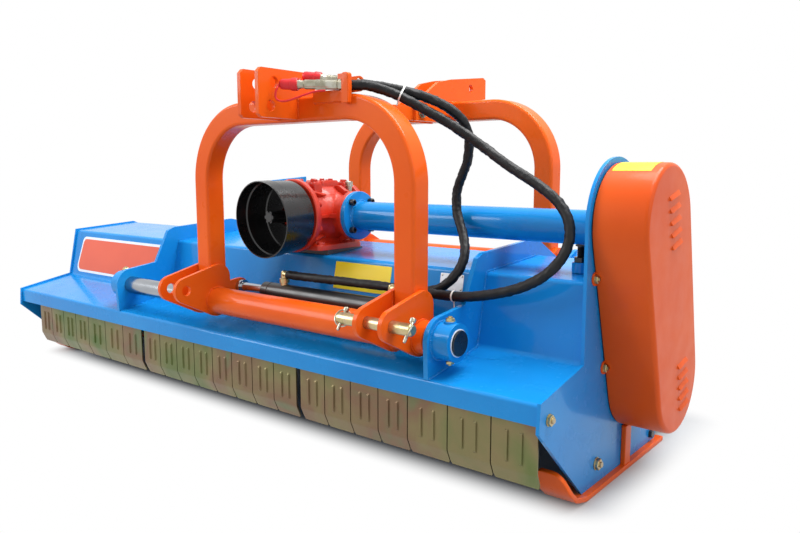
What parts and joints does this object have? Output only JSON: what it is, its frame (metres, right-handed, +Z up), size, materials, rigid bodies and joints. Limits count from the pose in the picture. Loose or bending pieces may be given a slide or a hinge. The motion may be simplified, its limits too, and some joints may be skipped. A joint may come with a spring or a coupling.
{
  "type": "flail mower",
  "caption": "Tractor flail mower: wide hood with hammer rotor, rear roller and hanging front flaps, side belt drive, and hitch arches on a side-shift carriage.",
  "frame": {"origin": "ground level, under the middle of the machine's outer box", "axes": "+X along the rotor towards the belt drive, +Y rearwards, +Z up"},
  "size_m": [2.366, 0.98, 1.017],
  "materials": {
    "blue_paint": "gloss powder coat",
    "orange_paint": "satin powder coat",
    "red_casting": "painted casting",
    "black_plastic": "gloss",
    "black_paint": "satin",
    "grey_steel": "satin",
    "cast_steel": "cast",
    "bright_steel": "polished",
    "coupler_steel": "plated",
    "yellow_zinc": "passivated zinc",
    "hose_sleeve": "woven sleeve",
    "belt_rubber": "matte"
  },
  "bodies": {
    "deck": {"hood_shell": "blue_paint", "right_side_plate": "blue_paint", "left_side_plate": "blue_paint", "support_ribs": "blue_paint", "slide_bars": "bright_steel", "belt_cover": "orange_paint", "skids": "orange_paint", "deck_fasteners": "yellow_zinc", "gearbox_case": "red_casting", "gearbox_saddle": "grey_steel", "drive_tube": "blue_paint", "flange_screws": "black_paint", "shaft_shields": "black_plastic", "cylinder_barrel": "black_paint", "hose_long": "hose_sleeve", "hose_short": "hose_sleeve", "bearing_housings": "grey_steel", "hinge_rods": "yellow_zinc", "roller_arms": "blue_paint", "drive_belts": "belt_rubber"},
    "carriage": {"front_arch": "orange_paint", "rear_arch": "orange_paint", "slide_tubes": "orange_paint", "lower_lugs": "orange_paint", "mast_plates": "orange_paint", "mast_strut": "orange_paint", "coupler_bracket": "orange_paint", "quick_couplers": "coupler_steel", "cylinder_rod": "bright_steel", "hitch_pins": "yellow_zinc"},
    "rotor": {"rotor_drum": "grey_steel", "hammers": "cast_steel", "lower_pulley": "grey_steel"},
    "drive": {"drive_shaft": "bright_steel", "upper_pulley": "grey_steel"},
    "input": {"input_shaft": "bright_steel"},
    "roller": {"rear_roller": "grey_steel"},
    "door": {"rear_door": "blue_paint"},
    "flap_01": {"flap_01": "yellow_zinc"},
    "flap_02": {"flap_02": "yellow_zinc"},
    "flap_03": {"flap_03": "yellow_zinc"},
    "flap_04": {"flap_04": "yellow_zinc"},
    "flap_05": {"flap_05": "yellow_zinc"},
    "flap_06": {"flap_06": "yellow_zinc"},
    "flap_07": {"flap_07": "yellow_zinc"},
    "flap_08": {"flap_08": "yellow_zinc"},
    "flap_09": {"flap_09": "yellow_zinc"},
    "flap_10": {"flap_10": "yellow_zinc"},
    "flap_11": {"flap_11": "yellow_zinc"},
    "flap_12": {"flap_12": "yellow_zinc"},
    "flap_13": {"flap_13": "yellow_zinc"},
    "flap_14": {"flap_14": "yellow_zinc"},
    "flap_15": {"flap_15": "yellow_zinc"},
    "flap_16": {"flap_16": "yellow_zinc"},
    "flap_17": {"flap_17": "yellow_zinc"},
    "flap_18": {"flap_18": "yellow_zinc"},
    "flap_19": {"flap_19": "yellow_zinc"},
    "flap_20": {"flap_20": "yellow_zinc"},
    "flap_21": {"flap_21": "yellow_zinc"},
    "flap_22": {"flap_22": "yellow_zinc"}
  },
  "joints": [
    {"name": "side_shift", "type": "slide", "parent": "deck", "child": "carriage", "axis": [1, 0, 0], "range_m": [-0.35, 0], "deforming": ["hose_long", "hose_short"]},
    {"name": "rotor_spin", "type": "hinge", "parent": "deck", "child": "rotor", "pos_m": [-0.045, 0.033, 0.237], "axis": [1, 0, 0], "continuous": true},
    {"name": "drive_spin", "type": "hinge", "parent": "deck", "child": "drive", "pos_m": [0.655, -0.08, 0.585], "axis": [1, 0, 0], "continuous": true},
    {"name": "input_spin", "type": "hinge", "parent": "deck", "child": "input", "pos_m": [0.165, -0.08, 0.585], "axis": [0, 1, 0], "continuous": true},
    {"name": "roller_spin", "type": "hinge", "parent": "deck", "child": "roller", "pos_m": [-0.045, 0.345, 0.075], "axis": [1, 0, 0], "continuous": true},
    {"name": "door_swing", "type": "hinge", "parent": "deck", "child": "door", "pos_m": [-0.045, 0.255, 0.314], "axis": [1, 0, 0], "range_deg": [0, 45]},
    {"name": "flap_01_swing", "type": "hinge", "parent": "deck", "child": "flap_01", "pos_m": [-0.045, -0.37, 0.226], "axis": [1, 0, 0], "range_deg": [0, 75]},
    {"name": "flap_02_swing", "type": "hinge", "parent": "deck", "child": "flap_02", "pos_m": [-0.045, -0.37, 0.226], "axis": [1, 0, 0], "range_deg": [0, 75]},
    {"name": "flap_03_swing", "type": "hinge", "parent": "deck", "child": "flap_03", "pos_m": [-0.045, -0.37, 0.226], "axis": [1, 0, 0], "range_deg": [0, 75]},
    {"name": "flap_04_swing", "type": "hinge", "parent": "deck", "child": "flap_04", "pos_m": [-0.045, -0.37, 0.226], "axis": [1, 0, 0], "range_deg": [0, 75]},
    {"name": "flap_05_swing", "type": "hinge", "parent": "deck", "child": "flap_05", "pos_m": [-0.045, -0.37, 0.226], "axis": [1, 0, 0], "range_deg": [0, 75]},
    {"name": "flap_06_swing", "type": "hinge", "parent": "deck", "child": "flap_06", "pos_m": [-0.045, -0.37, 0.226], "axis": [1, 0, 0], "range_deg": [0, 75]},
    {"name": "flap_07_swing", "type": "hinge", "parent": "deck", "child": "flap_07", "pos_m": [-0.045, -0.37, 0.226], "axis": [1, 0, 0], "range_deg": [0, 75]},
    {"name": "flap_08_swing", "type": "hinge", "parent": "deck", "child": "flap_08", "pos_m": [-0.045, -0.37, 0.226], "axis": [1, 0, 0], "range_deg": [0, 75]},
    {"name": "flap_09_swing", "type": "hinge", "parent": "deck", "child": "flap_09", "pos_m": [-0.045, -0.37, 0.226], "axis": [1, 0, 0], "range_deg": [0, 75]},
    {"name": "flap_10_swing", "type": "hinge", "parent": "deck", "child": "flap_10", "pos_m": [-0.045, -0.37, 0.226], "axis": [1, 0, 0], "range_deg": [0, 75]},
    {"name": "flap_11_swing", "type": "hinge", "parent": "deck", "child": "flap_11", "pos_m": [-0.045, -0.37, 0.226], "axis": [1, 0, 0], "range_deg": [0, 75]},
    {"name": "flap_12_swing", "type": "hinge", "parent": "deck", "child": "flap_12", "pos_m": [-0.045, -0.37, 0.226], "axis": [1, 0, 0], "range_deg": [0, 75]},
    {"name": "flap_13_swing", "type": "hinge", "parent": "deck", "child": "flap_13", "pos_m": [-0.045, -0.37, 0.226], "axis": [1, 0, 0], "range_deg": [0, 75]},
    {"name": "flap_14_swing", "type": "hinge", "parent": "deck", "child": "flap_14", "pos_m": [-0.045, -0.37, 0.226], "axis": [1, 0, 0], "range_deg": [0, 75]},
    {"name": "flap_15_swing", "type": "hinge", "parent": "deck", "child": "flap_15", "pos_m": [-0.045, -0.37, 0.226], "axis": [1, 0, 0], "range_deg": [0, 75]},
    {"name": "flap_16_swing", "type": "hinge", "parent": "deck", "child": "flap_16", "pos_m": [-0.045, -0.37, 0.226], "axis": [1, 0, 0], "range_deg": [0, 75]},
    {"name": "flap_17_swing", "type": "hinge", "parent": "deck", "child": "flap_17", "pos_m": [-0.045, -0.37, 0.226], "axis": [1, 0, 0], "range_deg": [0, 75]},
    {"name": "flap_18_swing", "type": "hinge", "parent": "deck", "child": "flap_18", "pos_m": [-0.045, -0.37, 0.226], "axis": [1, 0, 0], "range_deg": [0, 75]},
    {"name": "flap_19_swing", "type": "hinge", "parent": "deck", "child": "flap_19", "pos_m": [-0.045, -0.37, 0.226], "axis": [1, 0, 0], "range_deg": [0, 75]},
    {"name": "flap_20_swing", "type": "hinge", "parent": "deck", "child": "flap_20", "pos_m": [-0.045, -0.37, 0.226], "axis": [1, 0, 0], "range_deg": [0, 75]},
    {"name": "flap_21_swing", "type": "hinge", "parent": "deck", "child": "flap_21", "pos_m": [-0.045, -0.37, 0.226], "axis": [1, 0, 0], "range_deg": [0, 75]},
    {"name": "flap_22_swing", "type": "hinge", "parent": "deck", "child": "flap_22", "pos_m": [-0.045, -0.37, 0.226], "axis": [1, 0, 0], "range_deg": [0, 75]}
  ],
  "couplings": [
    {"joint": "drive_spin", "follows": "rotor_spin", "ratio": 0.5362},
    {"joint": "input_spin", "follows": "rotor_spin", "ratio": -0.2681}
  ]
}
